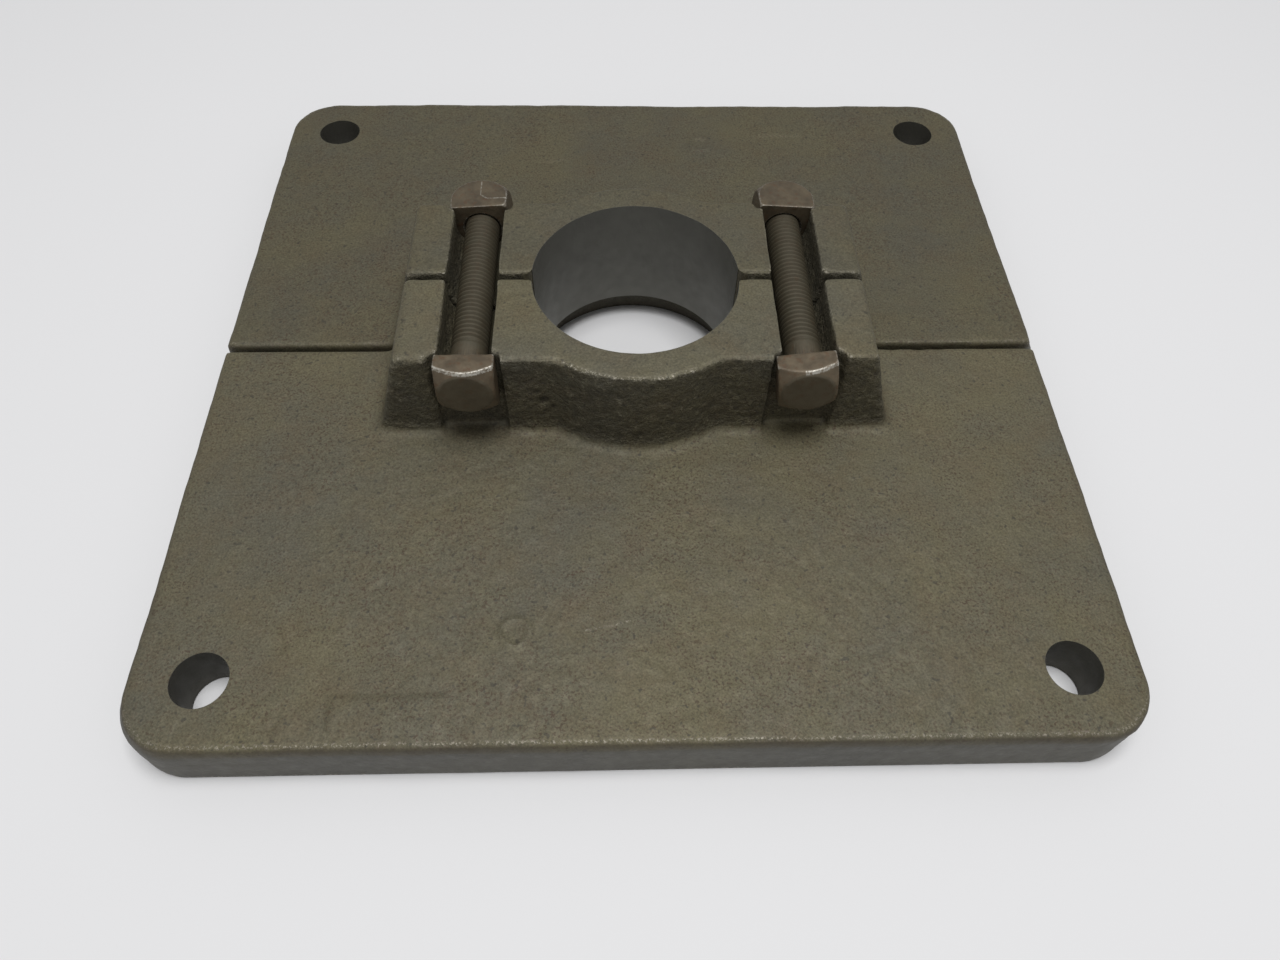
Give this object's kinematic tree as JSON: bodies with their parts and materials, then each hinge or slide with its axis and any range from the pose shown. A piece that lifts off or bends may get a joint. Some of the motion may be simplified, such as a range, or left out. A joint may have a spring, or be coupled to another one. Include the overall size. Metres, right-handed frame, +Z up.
{
  "type": "split stanchion base",
  "caption": "Heavy square cast base in two matching halves that clamp round an upright pipe, drawn together by square-headed bolts in open slots.",
  "frame": {"origin": "where the axis of the pipe bore meets the flat underside, which is the middle of the square plate", "axes": "+Z up along the pipe bore, +X along the split between the halves, +Y towards the half that carries the nuts"},
  "size_m": [0.3048, 0.3048, 0.0561],
  "materials": {
    "front_casting": "rough weathered casting, grey-brown with rust specks and a worn top edge",
    "rear_casting": "rough weathered casting, grey-brown with rust specks and a worn top edge",
    "bolt_steel": "plain steel, browned, bright along its worn edges",
    "nut_steel": "plain steel, browned, bright along its worn edges"
  },
  "bodies": {
    "front_half": {"front_half": "front_casting"},
    "rear_half": {"rear_half": "rear_casting"},
    "left_bolt": {"left_bolt": "bolt_steel"},
    "left_nut": {"left_nut": "nut_steel"},
    "right_bolt": {"right_bolt": "bolt_steel"},
    "right_nut": {"right_nut": "nut_steel"}
  },
  "joints": [
    {"name": "clamp_open", "type": "slide", "parent": "front_half", "child": "rear_half", "axis": [0, 1, 0], "range_m": [-0.002, 0.012]},
    {"name": "left_bolt_lift", "type": "slide", "parent": "front_half", "child": "left_bolt", "axis": [0, 0, 1], "range_m": [0, 0.05]},
    {"name": "right_bolt_lift", "type": "slide", "parent": "front_half", "child": "right_bolt", "axis": [0, 0, 1], "range_m": [0, 0.05]},
    {"name": "left_nut_travel", "type": "slide", "parent": "left_bolt", "child": "left_nut", "axis": [0, 1, 0], "range_m": [-0.002, 0.012]},
    {"name": "right_nut_travel", "type": "slide", "parent": "right_bolt", "child": "right_nut", "axis": [0, 1, 0], "range_m": [-0.002, 0.012]}
  ],
  "couplings": [
    {"joint": "left_nut_travel", "follows": "clamp_open", "ratio": 1},
    {"joint": "right_nut_travel", "follows": "clamp_open", "ratio": 1}
  ]
}
